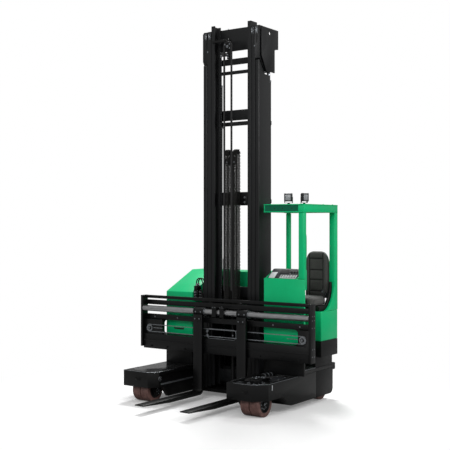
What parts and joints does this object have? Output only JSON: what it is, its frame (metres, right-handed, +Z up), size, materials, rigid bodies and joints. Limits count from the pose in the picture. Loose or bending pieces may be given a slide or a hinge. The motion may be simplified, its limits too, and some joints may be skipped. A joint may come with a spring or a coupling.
{
  "type": "multidirectional forklift",
  "caption": "Four-way ride-in forklift: low frame with two arms, a triplex mast that reaches forward, a wide fork carriage with sliding forks, and an open cab.",
  "frame": {"origin": "on the floor, under the middle of the machine's overall width and length", "axes": "+Z up, -Y towards the load, along the forks, +X towards the cab's side"},
  "size_m": [2.34, 2.07, 4.31],
  "materials": {
    "green": "semi-gloss green paint",
    "black": "satin black paint",
    "mast": "satin black paint over rolled profiles",
    "bright": "ground and hard-chromed steel",
    "tread": "cast brown polyurethane",
    "seat": "dark grey seat cloth",
    "chain": "oiled steel links",
    "rubber": "matt black rubber"
  },
  "bodies": {
    "chassis": {"left_arm": "black", "right_arm": "black", "rear_frame": "black", "left_base": "black", "left_hood": "green", "battery_block": "black", "rear_base": "black", "rear_cover": "green", "cab_tub": "black", "cab_front_panel": "green", "cab_console": "black", "seat_pedestal": "green", "front_post": "green", "rear_right_post": "green", "rear_left_post": "green", "guard_roof": "green", "front_lamp": "black", "side_lamp": "black", "seat_riser": "black", "seat_cushion": "seat", "seat_backrest": "seat", "left_buffer": "rubber", "right_buffer": "rubber"},
    "mast_base": {"reach_carriage": "black", "outer_mast": "mast", "left_lift_barrel": "black", "right_lift_barrel": "black"},
    "middle_stage": {"middle_mast": "mast", "left_lift_rod": "bright", "right_lift_rod": "bright"},
    "inner_stage": {"inner_mast": "mast", "free_lift_barrel": "black", "hose_sheave": "bright", "hose_loop": "rubber"},
    "lift_head": {"free_lift_head": "bright", "lift_chains": "chain"},
    "fork_carriage": {"carriage_top_rail": "black", "carriage_band": "black", "carriage_shaft": "bright", "carriage_upper_plate": "black", "carriage_lower_plate": "black", "left_end_plate": "black", "right_end_plate": "black", "left_hanger": "black", "right_hanger": "black", "positioner_loop": "chain"},
    "left_fork_body": {"left_fork": "black"},
    "right_fork_body": {"right_fork": "black"},
    "front_left_steer_body": {"front_left_knuckle": "black"},
    "front_left_wheel": {"front_left_tread": "tread", "front_left_hub": "black"},
    "front_right_steer_body": {"front_right_knuckle": "black"},
    "front_right_wheel": {"front_right_tread": "tread", "front_right_hub": "black"},
    "rear_left_steer_body": {"rear_left_knuckle": "black"},
    "rear_left_wheel": {"rear_left_tread": "tread", "rear_left_hub": "black"},
    "rear_right_steer_body": {"rear_right_knuckle": "black"},
    "rear_right_wheel": {"rear_right_tread": "tread", "rear_right_hub": "black"}
  },
  "joints": [
    {"name": "mast_reach", "type": "slide", "parent": "chassis", "child": "mast_base", "axis": [0, -1, 0], "range_m": [0, 0.56]},
    {"name": "middle_lift", "type": "slide", "parent": "mast_base", "child": "middle_stage", "axis": [0, 0, 1], "range_m": [0, 3.1]},
    {"name": "inner_lift", "type": "slide", "parent": "middle_stage", "child": "inner_stage", "axis": [0, 0, 1], "range_m": [0, 3.1]},
    {"name": "carriage_lift", "type": "slide", "parent": "inner_stage", "child": "fork_carriage", "axis": [0, 0, 1], "range_m": [0, 2.84]},
    {"name": "head_lift", "type": "slide", "parent": "inner_stage", "child": "lift_head", "axis": [0, 0, 1], "range_m": [0, 1.42]},
    {"name": "right_fork_slide", "type": "slide", "parent": "fork_carriage", "child": "right_fork_body", "axis": [1, 0, 0], "range_m": [-0.12, 0.12]},
    {"name": "left_fork_slide", "type": "slide", "parent": "fork_carriage", "child": "left_fork_body", "axis": [-1, 0, 0], "range_m": [-0.12, 0.12]},
    {"name": "front_left_steer", "type": "hinge", "parent": "chassis", "child": "front_left_steer_body", "pos_m": [-0.735, -0.37, 0.28], "axis": [0, 0, 1], "range_deg": [-95, 95]},
    {"name": "front_left_spin", "type": "hinge", "parent": "front_left_steer_body", "child": "front_left_wheel", "pos_m": [-0.735, -0.37, 0.135], "axis": [1, 0, 0], "continuous": true},
    {"name": "front_right_steer", "type": "hinge", "parent": "chassis", "child": "front_right_steer_body", "pos_m": [0.735, -0.37, 0.28], "axis": [0, 0, 1], "range_deg": [-95, 95]},
    {"name": "front_right_spin", "type": "hinge", "parent": "front_right_steer_body", "child": "front_right_wheel", "pos_m": [0.735, -0.37, 0.135], "axis": [1, 0, 0], "continuous": true},
    {"name": "rear_left_steer", "type": "hinge", "parent": "chassis", "child": "rear_left_steer_body", "pos_m": [-0.735, 0.83, 0.28], "axis": [0, 0, 1], "range_deg": [-95, 95]},
    {"name": "rear_left_spin", "type": "hinge", "parent": "rear_left_steer_body", "child": "rear_left_wheel", "pos_m": [-0.735, 0.83, 0.135], "axis": [1, 0, 0], "continuous": true},
    {"name": "rear_right_steer", "type": "hinge", "parent": "chassis", "child": "rear_right_steer_body", "pos_m": [0.735, 0.83, 0.28], "axis": [0, 0, 1], "range_deg": [-95, 95]},
    {"name": "rear_right_spin", "type": "hinge", "parent": "rear_right_steer_body", "child": "rear_right_wheel", "pos_m": [0.735, 0.83, 0.135], "axis": [1, 0, 0], "continuous": true}
  ],
  "couplings": [
    {"joint": "inner_lift", "follows": "middle_lift", "ratio": 1},
    {"joint": "head_lift", "follows": "carriage_lift", "ratio": 0.5},
    {"joint": "left_fork_slide", "follows": "right_fork_slide", "ratio": 1}
  ]
}
